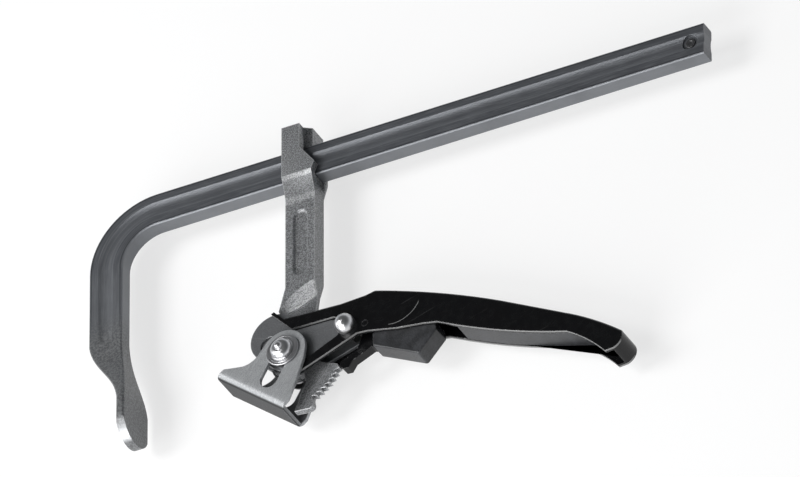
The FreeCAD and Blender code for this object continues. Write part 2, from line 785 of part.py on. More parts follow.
def make_pivot():
    """Bush, pin, washers, rings and domed caps on the main pivot."""
    across = size.pivot_reach
    bush_outer = pin_hole_radius + size.bush_wall
    bush_half = cam_low - size.running_clearance
    bush = washer_profile(pin_hole_radius, bush_outer, -bush_half, bush_half)
    pieces = [turned("pivot_bush", bush, across, 0)]
    pieces.append(turned("pivot_pin", rectangle(0, pin_radius, -pin_half, pin_half), across, 0))
    washer = washer_profile(pin_hole_radius, size.washer_diameter / 2, washer_low, washer_high)
    ring_low = cam_high + size.running_clearance
    ring_high = pad_inner - size.running_clearance
    ring = washer_profile(pin_hole_radius, pin_hole_radius + size.ring_wall, ring_low, ring_high)
    cap_radius = size.cap_diameter / 2
    nipple = size.nipple_diameter / 2
    edge_top = washer_high + size.cap_edge
    dome_top = washer_high + size.cap_height
    tip = dome_top + size.nipple_height
    dome_out = cap_radius - (cap_radius - nipple) * DOME_SHARES[0]
    dome_middle = (dome_out, edge_top + (dome_top - edge_top) * DOME_SHARES[1])
    tip_middle = (nipple * NIPPLE_SHARES[0], dome_top + size.nipple_height * NIPPLE_SHARES[1])
    cap = [(0, pin_half), (pin_hole_radius, pin_half), (pin_hole_radius, washer_high)]
    cap += [(cap_radius, washer_high), (cap_radius, edge_top), (dome_middle, (nipple, dome_top))]
    cap += [(tip_middle, (nipple * NIPPLE_SHARES[2], tip)), (0, tip)]
    for side, turn in (("front", list), ("rear", flipped)):
        pieces.append(turned(f"{side}_pivot_washer", turn(washer), across, 0))
        pieces.append(turned(f"{side}_spacer_ring", turn(ring), across, 0))
        pieces.append(turned(f"{side}_pivot_cap", turn(cap), across, 0))
    return pieces


def make_cam_plates():
    """Grey plates that turn with the lever and push the pressure plate out."""
    lobe = ((-size.cam_back, size.cam_rise), size.cam_radius)
    boss = ((0, 0), size.cam_boss_radius)
    land = ((size.rivet_reach, size.rivet_rise), size.rivet_land)
    pieces = []
    for side, front in (("front", True), ("rear", False)):
        low, high = sided(cam_low, cam_high, front)
        body = new_body(f"{side}_cam_plate", size.pivot_reach, 0)
        slab(body, "plate", draw_belt, [lobe, boss, land], low, high)
        bore(body, "pin_hole", (0, 0), pin_hole_radius, low, high)
        hole = (-size.cam_hole_back, size.cam_hole_rise)
        bore(body, "round_hole", hole, size.cam_hole_diameter / 2, low, high)
        rivet_hole = (size.rivet_reach, size.rivet_rise)
        bore(body, "rivet_hole", rivet_hole, size.rivet_diameter / 2, low, high)
        pieces.append(body)
    return pieces


def make_rivets():
    """Rivets with polished heads that hold each lever cheek on its cam plate."""
    radius = size.rivet_diameter / 2
    head = size.rivet_head_diameter / 2
    centre = (0, lever_half + head * math.sin(math.radians(RIVET_ANGLES[0])))
    base = head * math.cos(math.radians(RIVET_ANGLES[0]))
    crown = polar(head, RIVET_ANGLES[2], centre)
    profile = [(0, cam_low), (radius, cam_low), (radius, lever_half), (base, lever_half)]
    profile += [(polar(head, RIVET_ANGLES[1], centre), crown), (0, crown[1])]
    across = size.pivot_reach + size.rivet_reach
    front = turned("front_lever_rivet", profile, across, size.rivet_rise)
    return [front, turned("rear_lever_rivet", flipped(profile), across, size.rivet_rise)]


def handle_point(row, inset=0):
    """Point of the handle, drawn in from its surface along the normal where one is given."""
    across = size.neck_reach + size.handle_length * row[0]
    up = size.neck_rise - size.handle_drop * row[1]
    if len(row) > 2:
        across -= inset * math.cos(math.radians(row[2]))
        up -= inset * math.sin(math.radians(row[2]))
    return across, up


def handle_back(inset):
    """Arcs and runs along the back of the handle, from the neck to the end."""
    bow, straight_start, straight_end, hook = [handle_point(row, inset) for row in BACK_SHARES]
    return [(bow, straight_start), straight_end, (hook, handle_point(TIP_SHARES[0], inset))]


def make_lever():
    """Folded channel: two cheeks joined over the top and round the end."""
    body = new_body("lever_channel", size.pivot_reach, 0)
    front = spread(LEVER_FRONT_SHARES, size.neck_reach, size.neck_rise)
    back = handle_back(0)
    tip = [(handle_point(TIP_SHARES[1]), handle_point(TIP_SHARES[2])), handle_point(TIP_SHARES[3])]
    belly = [handle_point(row) for row in BELLY_SHARES]
    underside = [(belly[0], belly[1]), (belly[2], belly[3]), belly[4]]
    underside += [handle_point(row) for row in BELLY_START_SHARES]
    strip = spread(LEVER_STRIP_SHARES, size.neck_reach, size.neck_rise)
    apex = spread(NOTCH_APEX_SHARES, size.neck_reach, size.neck_rise)
    outline = front + back + tip + underside + strip + [(apex[0], apex[1])]
    blank = slab(body, "blank", draw_outline, outline, -lever_half, lever_half)
    crest = [step[1] if isinstance(step[0], tuple) else step for step in front[4:] + back]
    crest_points = [vector(point) for point in crest]

    def on_crest(edge):
        """True for the edges between a cheek and the back of the lever."""
        for corner in edge.Vertexes:
            flat = FreeCAD.Vector(corner.X, corner.Y, 0)
            if abs(abs(corner.Z) - lever_half.value) > NEARNESS:
                return False
            if min(flat.distanceToPoint(point) for point in crest_points) > NEARNESS:
                return False
        return True

    round_edges(body, blank, on_crest, size.lever_fold_radius)
    inside_half = cam_high
    roof = size.neck_rise + size.cam_radius
    floor = size.neck_rise - size.handle_drop - overrun
    inside = [(size.web_start, roof)]
    inside += [(size.web_start, size.neck_rise - size.lever_sheet)]
    roof_line = spread(WEB_INSIDE_SHARES, size.neck_reach, size.neck_rise)
    inside += [(across, up - size.lever_sheet) for across, up in roof_line]
    inside += handle_back(size.lever_sheet)
    end_inside = [handle_point(row, size.lever_sheet) for row in TIP_SHARES]
    inside += [(end_inside[1], end_inside[2])]
    inside += [(end_inside[2][0], floor), (-size.neck_reach, floor), (-size.neck_reach, roof)]
    sink(body, "inside", draw_outline, inside, -inside_half, inside_half)
    rivet_hole = (size.rivet_reach, size.rivet_rise)
    bore(body, "rivet_hole", rivet_hole, size.rivet_diameter / 2, -lever_half, lever_half)
    pawl_hole = (size.pawl_reach, size.pawl_rise)
    bore(body, "pawl_hole", pawl_hole, size.pawl_pin_diameter / 2, -lever_half, lever_half)
    return body


def make_filler():
    """Filler in the underside of the handle, flush with the edges of the channel."""
    body = new_body("handle_filler", size.pivot_reach, 0)
    inset = size.lever_sheet + size.filler_clearance
    bow, straight_start, straight_end, hook = [handle_point(row, inset) for row in BACK_SHARES]
    end = [handle_point(row, inset) for row in TIP_SHARES]
    belly = [handle_point(row) for row in BELLY_SHARES]
    top_start = handle_point(FILLER_START_SHARES, inset)
    outline = [top_start, straight_start, straight_end, (hook, end[0]), (end[1], end[2])]
    outline += [(end[2][0], belly[0][1]), belly[1], (belly[2], belly[3]), handle_point(FILLER_NOSE_SHARES)]
    half = cam_high - size.filler_clearance
    slab(body, "fill", draw_outline, outline, -half, half)
    return body


def make_pawl():
    """Steel pawl with its pin and the plastic trigger on its tail."""
    reach = size.pawl_reach
    pawl = new_body("pawl", size.pivot_reach, 0)
    tip_radius = size.tooth_tip_radius + size.pawl_clearance
    nose = polar(tip_radius, PAWL_NOSE_ANGLE)
    heel = polar(tip_radius, PAWL_HEEL_ANGLE)
    outline = spread(PAWL_FRONT_SHARES, reach, reach) + [nose, heel] + spread(PAWL_BACK_SHARES, reach, reach)
    half = size.pawl_thickness / 2
    slab(pawl, "plate", draw_outline, outline, -half, half)
    centre = (reach, size.pawl_rise)
    boss = new_sketch(pawl, "boss", "XY_Plane", -half)
    draw_round(boss, centre, size.pawl_boss_diameter / 2)
    pad(pawl, boss, size.pawl_thickness)
    bore(pawl, "pin_hole", centre, size.pawl_pin_diameter / 2 + size.running_clearance, -half, half)
    pin = rectangle(0, size.pawl_pin_diameter / 2, -lever_half, lever_half)
    pin_body = turned("pawl_pin", pin, size.pivot_reach + reach, size.pawl_rise)
    trigger = new_body("release_trigger", size.pivot_reach, 0)
    trigger_half = size.trigger_width / 2
    shape = spread(TRIGGER_SHARES, reach, reach)
    block = slab(trigger, "block", draw_outline, shape, -trigger_half, trigger_half)

    def upright(edge):
        """True for the edges across the trigger at its three free corners."""
        corners = [vector(point) for point in shape[2:5]]
        middle = edge.CenterOfMass
        flat = FreeCAD.Vector(middle.x, middle.y, 0)
        return min(flat.distanceToPoint(corner) for corner in corners) < NEARNESS

    round_edges(trigger, block, upright, size.trigger_corner)
    socket = [nose, heel] + spread(PAWL_BACK_SHARES, reach, reach) + spread(PAWL_FRONT_SHARES, reach, reach)
    sink(trigger, "tail_socket", draw_outline, socket, -half, half)
    return [pawl, pin_body, trigger]


def make_pressure_plate():
    """Bent plate with two slotted cheeks, drawn facing the fixed jaw and turned to its rest."""
    body = new_body("pressure_plate", size.pivot_reach, 0)
    body.Placement.Rotation = FreeCAD.Rotation(FreeCAD.Vector(0, 0, 1), PAD_TURN_ANGLE)
    distance = size.pad_distance
    boss = size.pad_boss_radius
    lower = spread(CHEEK_LOWER_SHARES, distance, distance)
    upper = spread(CHEEK_UPPER_SHARES, distance, distance)
    outline = [(-distance, size.pad_top), (-distance, -size.pad_bottom)] + lower
    outline += [polar(boss, CHEEK_ANGLES[0]), (polar(boss, CHEEK_ANGLES[1]), polar(boss, CHEEK_ANGLES[2]))]
    outline += [upper[0], (upper[1], upper[2]), upper[3], upper[4]]
    blank = slab(body, "blank", draw_outline, outline, -pad_half, pad_half)
    front = -distance.value

    def along_web(edge):
        """True for the two long edges between the web and the cheeks."""
        points = [corner.Point for corner in edge.Vertexes]
        flat = all(abs(point.x - front) < NEARNESS for point in points)
        return flat and len(points) == 2 and abs(points[0].z - points[1].z) < NEARNESS

    round_edges(body, blank, along_web, size.pad_bend_radius)
    inside = rectangle(size.pad_sheet - distance, boss + overrun, -distance * 2, distance * 2)
    sink(body, "inside", draw_outline, inside, -pad_inner, pad_inner)
    slot_radius = pin_radius + size.slot_clearance
    slot = [((0, 0), slot_radius), (polar(size.slot_length, SLOT_ANGLE), slot_radius)]
    sink(body, "slot", draw_belt, slot, -pad_half, pad_half)
    return body


pieces = [make_rail(), make_stop_pin(), make_arm()]
pieces += make_pivot()
pieces += make_cam_plates()
pieces += [make_lever(), make_filler(), make_pressure_plate()]
pieces += make_rivets()
pieces += make_pawl()
document.recompute()

faults = []
for item in document.Objects:
    if {"Invalid", "Error"} & set(item.State):
        faults.append(f"{item.Name}: {item.State}")
for piece in pieces:
    if piece.Shape.isNull() or not piece.Shape.isValid() or len(piece.Shape.Solids) != 1:
        faults.append(f"{piece.Label}: shape")
if faults:
    raise SystemExit("\n".join(faults))

os.makedirs("parts", exist_ok=True)
for piece in pieces:
    piece.Shape.exportStep(f"parts/{piece.Label}.step")
    box = piece.Shape.BoundBox
    print(piece.Label, round(piece.Shape.Volume), [round(value, 1) for value in (
        box.XMin, box.XMax, box.YMin, box.YMax, box.ZMin, box.ZMax)])
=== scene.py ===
"""Looks of an all-steel lever bar clamp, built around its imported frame.

Lengths are in metres and the angles that are set are in degrees. CRISP is the angle from which an edge
stays crisp, BENT and CUT are the angles from which an edge of a bent or moulded and of a cut piece is eased.
"""

import json
import logging
import math
from dataclasses import dataclass
from enum import Enum

import bmesh
import bpy
from mathutils import Matrix, Vector


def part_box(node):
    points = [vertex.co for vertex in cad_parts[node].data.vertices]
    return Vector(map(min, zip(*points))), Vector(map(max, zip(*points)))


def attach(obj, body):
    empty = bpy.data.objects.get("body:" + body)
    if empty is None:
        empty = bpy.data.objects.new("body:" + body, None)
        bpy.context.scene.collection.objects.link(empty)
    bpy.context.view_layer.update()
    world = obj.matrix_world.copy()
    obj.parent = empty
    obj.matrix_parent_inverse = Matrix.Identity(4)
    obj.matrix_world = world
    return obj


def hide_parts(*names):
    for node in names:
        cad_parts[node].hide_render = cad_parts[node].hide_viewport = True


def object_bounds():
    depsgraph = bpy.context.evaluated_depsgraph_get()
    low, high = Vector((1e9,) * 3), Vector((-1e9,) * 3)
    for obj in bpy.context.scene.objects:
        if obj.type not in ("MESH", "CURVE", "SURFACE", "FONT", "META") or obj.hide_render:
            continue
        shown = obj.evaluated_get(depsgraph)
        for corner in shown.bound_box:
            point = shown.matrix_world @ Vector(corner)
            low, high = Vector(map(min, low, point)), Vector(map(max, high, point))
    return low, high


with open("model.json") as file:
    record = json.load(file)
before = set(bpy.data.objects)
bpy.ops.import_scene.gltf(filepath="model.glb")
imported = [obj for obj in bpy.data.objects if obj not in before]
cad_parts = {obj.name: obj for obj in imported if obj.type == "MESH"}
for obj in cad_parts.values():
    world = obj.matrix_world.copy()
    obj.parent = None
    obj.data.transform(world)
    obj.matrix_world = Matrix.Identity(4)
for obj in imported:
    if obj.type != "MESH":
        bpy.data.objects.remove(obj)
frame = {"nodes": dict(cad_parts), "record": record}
CAD_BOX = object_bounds()

LOG = logging.getLogger("clamp")
CRISP = 38.0
BENT = 30.0
CUT = 40.0

Colour = tuple[float, float, float]
Triple = tuple[float, float, float]
Span = tuple[float, float]


class Flow:
    """One output of a shader node, with the arithmetic that the finishes write on it."""

    def __init__(self, paint: "Paint", socket: bpy.types.NodeSocket) -> None:
        """Wrap a socket.

        Args:
            paint: The material that the socket belongs to.
            socket: The output that carries the values.
        """
        self.paint = paint
        self.socket = socket

    def sum(self, operation: str, *others: "Flow | float") -> "Flow":
        """Add a Math node after this value.

        Args:
            operation: The Math node's operation.
            others: The other values.

        Returns:
            The result.
        """
        values = dict(enumerate((self, *others)))
        return self.paint.node("ShaderNodeMath", {"operation": operation}, values)

    def held(self) -> "Flow":
        """This value, or 1 where it is more than that."""
        return self.sum("MINIMUM", 1.0)

    def __add__(self, other: "Flow | float") -> "Flow":
        """Sum of two values."""
        return self.sum("ADD", other)

    def __radd__(self, other: float) -> "Flow":
        """Sum with a plain number first."""
        return self.sum("ADD", other)

    def __sub__(self, other: "Flow | float") -> "Flow":
        """Difference of two values."""
        return self.sum("SUBTRACT", other)

    def __rsub__(self, other: float) -> "Flow":
        """A plain number less this value."""
        return self.paint.node("ShaderNodeMath", {"operation": "SUBTRACT"}, {0: other, 1: self})

    def __mul__(self, other: "Flow | float") -> "Flow":
        """Product of two values."""
        return self.sum("MULTIPLY", other)

    def __rmul__(self, other: float) -> "Flow":
        """Product with a plain number first."""
        return self.sum("MULTIPLY", other)

    def __abs__(self) -> "Flow":
        """Size of this value."""
        return self.sum("ABSOLUTE")

    def step(self, low: float, high: float) -> "Flow":
        """Smooth step of this value.

        Args:
            low: Value at which the step starts from 0.
            high: Value at which it reaches 1; below low for a falling step.

        Returns:
            The step, from 0 to 1.
        """
        settings = {"interpolation_type": "SMOOTHSTEP"}
        if low < high:
            return self.paint.node("ShaderNodeMapRange", settings, {0: self, 1: low, 2: high, 3: 0.0, 4: 1.0})
        return self.paint.node("ShaderNodeMapRange", settings, {0: self, 1: high, 2: low, 3: 1.0, 4: 0.0})


class Paint:
    """A material while its nodes are being laid out."""

    worn_turn: Span = (0.002, 0.12)

    def __init__(self, name: str) -> None:
        """Start an empty material.

        Args:
            name: The material's name.
        """
        self.material = bpy.data.materials.new(name)
        self.material.use_nodes = True
        self.tree = self.material.node_tree
        self.tree.nodes.clear()

    def node(
        self, kind: str, settings: dict | None = None, values: dict | None = None, output: int = 0
    ) -> Flow:
        """Add a node.

        Args:
            kind: The node's type.
            settings: Its settings, and the stops of a ramp under the key stops.
            values: Values or links of its inputs, by name or number.
            output: Number of the output that is wanted.

        Returns:
            That output.
        """
        node = self.tree.nodes.new(kind)
        for key, value in (settings or {}).items():
            if key == "stops":
                ramp = node.color_ramp.elements
                while len(ramp) < len(value):
                    ramp.new(1.0)
                for element, (place, colour) in zip(ramp, value):
                    element.position = place
                    element.color = (*colour, 1.0)
            else:
                setattr(node, key, value)
        for key, value in (values or {}).items():
            socket = node.inputs[key]
            if isinstance(value, Flow):
                self.tree.links.new(value.socket, socket)
            elif isinstance(value, tuple) and socket.type == "RGBA" and len(value) == 3:
                socket.default_value = (*value, 1.0)
            else:
                socket.default_value = value
        return Flow(self, node.outputs[output])

    def place(self) -> Flow:
        """Place of the shaded point in the clamp's own frame."""
        return self.node("ShaderNodeTexCoord", output=3)

    def stretched(self, scale: Triple, turn: float) -> Flow:
        """Place of the point, scaled along each axis for a streaked pattern.

        Args:
            scale: Scale along each axis.
            turn: Turn about the third axis in degrees, before scaling.

        Returns:
            The scaled place.
        """
        values = {"Vector": self.place(), "Angle": math.radians(turn)}
        turned = self.node("ShaderNodeVectorRotate", {"rotation_type": "Z_AXIS"}, values)
        return self.node("ShaderNodeVectorMath", {"operation": "MULTIPLY"}, {0: turned, 1: scale})

    def noise(self, scale: float, detail: float = 3.0, at: Flow | None = None, rough: float = 0.55) -> Flow:
        """Noise of a given scale.

        Args:
            scale: Features per metre.
            detail: Octaves of finer noise.
            at: Where it is read; the point's own place if left out.
            rough: How strong the finer octaves are.

        Returns:
            The noise, from 0 to 1.
        """
        values = {"Vector": at or self.place(), "Scale": scale, "Detail": detail, "Roughness": rough}
        return self.node("ShaderNodeTexNoise", None, values)

    def axis(self, index: int) -> Flow:
        """One coordinate of the point, in metres.

        Args:
            index: Number of the axis.

        Returns:
            The coordinate.
        """
        return self.node("ShaderNodeSeparateXYZ", None, {0: self.place()}, output=index)

    def facing(self, index: int) -> Flow:
        """How far the surface faces along an axis, before any relief.

        Args:
            index: Number of the axis.

        Returns:
            One component of the normal.
        """
        normal = self.node("ShaderNodeTexCoord", output=1)
        return self.node("ShaderNodeSeparateXYZ", None, {0: normal}, output=index)

    def tint(self, mask: Flow | float, first: "Flow | Colour", second: "Flow | Colour") -> Flow:
        """Colour between two colours.

        Args:
            mask: 0 gives the first and 1 the second.
            first: The first colour.
            second: The second colour.

        Returns:
            The mixed colour.
        """
        return self.node("ShaderNodeMix", {"data_type": "RGBA"}, {0: mask, 6: first, 7: second}, output=2)

    def softened_normal(self, radius: float) -> Flow:
        """Normal that is rounded over the edges.

        Args:
            radius: How near an edge has to be, in metres.

        Returns:
            The normal.
        """
        return self.node("ShaderNodeBevel", {"samples": 6}, {"Radius": radius})

    def edge_wear(self, radius: float) -> Flow:
        """Mask of the edges.

        Args:
            radius: How far the wear reaches, in metres.

        Returns:
            The mask, from 0 on the flats to 1 on the sharpest corners.
        """
        normals = {0: self.node("ShaderNodeNewGeometry", output=1), 1: self.softened_normal(radius)}
        match = self.node("ShaderNodeVectorMath", {"operation": "DOT_PRODUCT"}, normals, output=1)
        return (1.0 - match).step(*self.worn_turn)

    def bumped(self, height: Flow, distance: float, strength: float, radius: float) -> Flow:
        """Normal with rounded edges and fine relief.

        Args:
            height: The relief, from 0 to 1.
            distance: Its depth in metres.
            strength: How much of it shows.
            radius: Radius of the rounded edges in metres.

        Returns:
            The normal.
        """
        values = {"Height": height, "Distance": distance, "Strength": strength}
        return self.node("ShaderNodeBump", None, {**values, "Normal": self.softened_normal(radius)})

    def finish(self, values: dict) -> bpy.types.Material:
        """Close the material with its surface shader.

        Args:
            values: Inputs of the surface shader.

        Returns:
            The material.
        """
        surface = self.node("ShaderNodeBsdfPrincipled", None, values)
        self.node_out(surface)
        return self.material

    def node_out(self, surface: Flow) -> None:
        """Send a shader to the material's output.

        Args:
            surface: The shader.
        """
        output = self.tree.nodes.new("ShaderNodeOutputMaterial")
        self.tree.links.new(surface.socket, output.inputs["Surface"])


def shade(colour: Colour, share: float) -> Colour:
    """Darker tone of a colour.

    Args:
        colour: The colour.
        share: How much of it is left.

    Returns:
        The darker tone.
    """
    return tuple(value * share for value in colour)


def circle_centre(first: Vector, middle: Vector, last: Vector) -> Vector:
    """Centre of the circle through three points of a plane.

    Args:
        first: One point.
        middle: Another point.
        last: The third point.

    Returns:
        The centre.
    """
    across = (middle - first).orthogonal()
    other = (last - middle).orthogonal()
    gap = (last - first) / 2
    reach = (gap.x * other.y - gap.y * other.x) / (across.x * other.y - across.y * other.x)
    return (first + middle) / 2 + across * reach


@dataclass(frozen=True)
class BarSteel:
    """Drawn bar whose marks follow its bend, grainy at the forged jaw, painted with sheen, corner and
    spoon-rim highlights and a shade line.
    """

    name: str
    tone: Colour = (0.09, 0.095, 0.105)
    bright: Colour = (0.3, 0.31, 0.33)
    # painted sheen: colour of the narrow faces, lighter than the broad faces
    narrow_sheen: Colour = (0.17, 0.178, 0.19)
    # painted sheen: lighter colour painted on the leg and in the groove
    painted_sheen: Colour = (0.15, 0.157, 0.168)
    forged: Colour = (0.2, 0.205, 0.21)
    # colour of the painted highlight on the spoon's rim
    rim: Colour = (0.7, 0.71, 0.73)
    bend_centre: Span = (0.0158, 0.1036)
    middle_radius: float = 0.034
    half_depth: float = 0.011
    half_thickness: float = 0.00525
    drawn_above: Span = (0.046, 0.078)
    sheen_below: Span = (0.112, 0.088)
    groove: Span = (0.0051, 0.0048)
    side_fade: Span = (-0.0006, -0.0001)
    corner_fade: Span = (-0.0011, -0.0004)
    # where the painted shade line runs, inside each edge of the broad faces
    line_inset: float = 0.0014
    line_fade: Span = (0.0006, 0.0002)
    spoon_below: Span = (-0.012, -0.03)
    spoon_end: Span = (-0.062, -0.05)
    stretch: float = 0.04
    worn_edge: float = 0.0007
    relief: Triple = (0.00016, 0.5, 0.00025)

    def across(self, paint: Paint) -> Flow:
        """Distance from the middle line of the bar, round the bend too.

        Args:
            paint: The material.

        Returns:
            The distance in metres, less than 0 on the outside of the frame.
        """
        past_x = (self.bend_centre[0] - paint.axis(0)).sum("MAXIMUM", 0.0)
        past_y = (paint.axis(1) - self.bend_centre[1]).sum("MAXIMUM", 0.0)
        return (past_x * past_x + past_y * past_y).sum("SQRT") - self.middle_radius

    def make(self) -> bpy.types.Material:
        """Lay out the material.

        Returns:
            The material.
        """
        paint = Paint(self.name)
        across = self.across(paint)
        along = (paint.axis(0) - paint.axis(1)) * self.stretch
        place = paint.node("ShaderNodeCombineXYZ", None, {0: across, 1: paint.axis(2), 2: along})
        streaks = paint.noise(1700.0, 3.0, place, 0.6)
        coarse = paint.noise(420.0, 2.0, place)
        grain = paint.noise(800.0, 4.0, rough=0.7)
        clouds = paint.noise(40.0, 3.0)
        height = paint.axis(1)
        drawn = height.step(*self.drawn_above)
        from_side = abs(across) - self.half_depth
        side = from_side.step(*self.side_fade) * drawn
        high = (abs(paint.axis(2)) - self.half_thickness).step(*self.corner_fade)
        corner = from_side.step(*self.corner_fade) * high * drawn
        # painted sheen: the leg below the bend and the groove are painted lighter
        tone = paint.tint(height.step(*self.sheen_below) * 0.8, self.tone, self.painted_sheen)
        tone = paint.tint(abs(across).step(*self.groove) * 0.4, tone, self.painted_sheen)
        bar = paint.tint(streaks.step(0.4, 0.75) * 0.3, tone, self.bright)
        bar = paint.tint(coarse.step(0.45, 0.75) * 0.25, bar, shade(self.tone, 0.55))
        # painted sheen: the narrow faces are painted lighter
        bar = paint.tint(side * (0.75 + streaks * 0.25), bar, self.narrow_sheen)
        jaw = paint.tint(grain.step(0.4, 0.62), shade(self.forged, 0.5), self.forged)
        base = paint.tint(drawn, jaw, bar)
        base = paint.tint(clouds.step(0.4, 0.75) * 0.2, base, shade(self.tone, 0.6))
        # painted highlight along the bar's corners, mixed with real edge wear
        wear_and_highlight = (corner * 0.3 + paint.edge_wear(self.worn_edge) * 0.25).held()
        base = paint.tint(wear_and_highlight, base, self.bright)
        # painted shade: a thin dark line along the broad faces just inside each edge
        line = abs(from_side + self.line_inset).step(*self.line_fade) * high * drawn
        base = paint.tint(line * 0.6, base, shade(self.tone, 0.3))
        # painted highlight on the spoon's rim, where it turns up
        spoon = height.step(*self.spoon_below) * height.step(*self.spoon_end)
        base = paint.tint(paint.facing(2).step(0.2, 0.45) * spoon * 0.8, base, self.rim)
        rough = 0.4 + (streaks - 0.5) * 0.2 + corner * 0.1 + (1.0 - drawn) * 0.05
        normal = paint.bumped((streaks * 0.5 - grain) * drawn + grain, *self.relief)
        return paint.finish({"Base Color": base, "Metallic": 0.55, "Roughness": rough, "Normal": normal})


@dataclass(frozen=True)
class ForgedSteel:
    """Tumbled forged steel: pitted grain with bright specks, and painted highlights over the step and the
    ramp.
    """

    name: str
    tone: Colour = (0.3, 0.307, 0.316)
    bright: Colour = (0.72, 0.73, 0.74)
    grain: float = 1300.0
    # painted highlight bands across the broad faces: height, half width and strength
    highlight_bands: tuple[Triple, ...] = ((0.1262, 0.0024, 1.08), (0.1122, 0.0036, 0.9))
    ramp_below: Span = (0.09, 0.07)
    ramp_slant: Span = (-0.16, -0.32)
    flank_slant: Span = (-0.9, -0.7)
    worn_edge: float = 0.0013
    relief: Triple = (0.0004, 0.55, 0.0006)

    def make(self) -> bpy.types.Material:
        """Lay out the material.

        Returns:
            The material.
        """
        paint = Paint(self.name)
        grain = paint.noise(self.grain, 4.0, rough=0.72)
        fine = paint.noise(self.grain * 2.6, 2.0)
        clouds = paint.noise(55.0, 3.0)
        wear = paint.edge_wear(self.worn_edge)
        base = paint.tint(grain.step(0.4, 0.6), shade(self.tone, 0.3), self.tone)
        base = paint.tint(clouds.step(0.35, 0.75) * 0.3, base, shade(self.tone, 0.62))
        specks = fine.step(0.56, 0.68) * grain.step(0.45, 0.6) * 0.55
        # painted highlight on the ramp faces that face the light and on bands across the step
        height, slant = paint.axis(1), paint.facing(1)
        broad = abs(paint.facing(2)).step(0.45, 0.7)
        highlit = slant.step(*self.ramp_slant) * slant.step(*self.flank_slant) * height.step(*self.ramp_below)
        for middle, reach, share in self.highlight_bands:
            highlit = highlit + abs(height - middle).step(reach, reach * 0.3) * broad * share
        highlit = highlit * (0.08 + grain.step(0.35, 0.65) * 0.42)
        base = paint.tint((specks + wear * 0.45 + highlit).held(), base, self.bright)
        rough = 0.4 + (grain - 0.5) * 0.25 - wear * 0.1
        normal = paint.bumped(grain * 0.6 + fine * 0.4, *self.relief)
        return paint.finish({"Base Color": base, "Metallic": 0.5, "Roughness": rough, "Normal": normal})


@dataclass(frozen=True)
class SheetSteel:
    """Rolled sheet or turned stock: fine marks, faint stains and wear along the edges."""

    name: str
    tone: Colour
    bright: Colour
    roughness: float = 0.38
    marks: float = 0.25
    worn_edge: float = 0.0008
    relief: Triple = (0.00007, 0.45, 0.0004)

    def make(self) -> bpy.types.Material:
        """Lay out the material.

        Returns:
            The material.
        """
        paint = Paint(self.name)
        skin = paint.noise(1300.0, 4.0, rough=0.65)
        clouds = paint.noise(70.0, 4.0)
        hair = paint.noise(900.0, 2.0, paint.stretched((0.05, 1.0, 1.0), 24.0)).step(0.62, 0.74)
        wear = paint.edge_wear(self.worn_edge) * 0.7
        base = paint.tint(skin.step(0.35, 0.7) * self.marks, self.tone, self.bright)
        base = paint.tint(clouds.step(0.4, 0.7) * 0.3, base, shade(self.tone, 0.62))
        base = paint.tint((wear + hair * 0.12).held(), base, self.bright)
        rough = self.roughness + (skin - 0.5) * 0.16 + (clouds - 0.5) * 0.14
        normal = paint.bumped(skin * 0.8 + hair * 0.2, *self.relief)
        return paint.finish({"Base Color": base, "Metallic": 0.5, "Roughness": rough, "Normal": normal})


